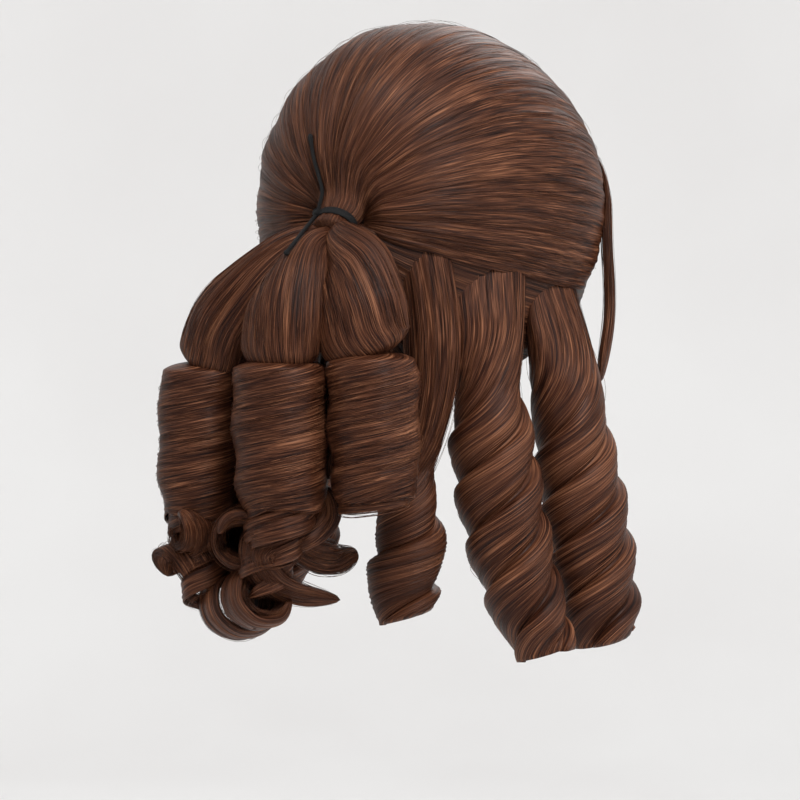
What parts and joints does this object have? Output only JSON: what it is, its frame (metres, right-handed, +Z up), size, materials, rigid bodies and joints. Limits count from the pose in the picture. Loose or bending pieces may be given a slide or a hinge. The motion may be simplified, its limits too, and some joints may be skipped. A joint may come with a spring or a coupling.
{
  "type": "cosplay wig",
  "caption": "Brown swept-back wig on a fitted cap, tied half up with an elastic, with a ponytail of barrel curls and hanging ringlets.",
  "frame": {"origin": "the point inside the cap where the top of the wearer's head bears", "axes": "+Z up, the wearer faces -Y, and the wearer's left is +X"},
  "size_m": [0.2331, 0.2624, 0.3321],
  "materials": {
    "brown_hair": "synthetic hair with a soft sheen",
    "cap_net": "stretch net, matte",
    "black_elastic": "covered elastic, matte"
  },
  "bodies": {
    "root": {"wig_cap": "cap_net", "hair_elastic": "black_elastic", "crown_hair": "brown_hair", "nape_hair": "brown_hair", "swag_left": "brown_hair", "swag_middle": "brown_hair", "swag_right": "brown_hair", "barrel_left": "brown_hair", "barrel_middle": "brown_hair", "barrel_right": "brown_hair", "end_curl_ring": "brown_hair", "end_curl_left": "brown_hair", "end_curl_loop": "brown_hair", "end_curl_swirl": "brown_hair", "end_curl_wave": "brown_hair", "end_curl_tip": "brown_hair", "ringlet_nape": "brown_hair", "ringlet_right_back": "brown_hair", "ringlet_right_side": "brown_hair", "ringlet_left_back": "brown_hair", "ringlet_left_side": "brown_hair", "face_strand_right": "brown_hair", "face_strand_left": "brown_hair"}
  },
  "joints": []
}
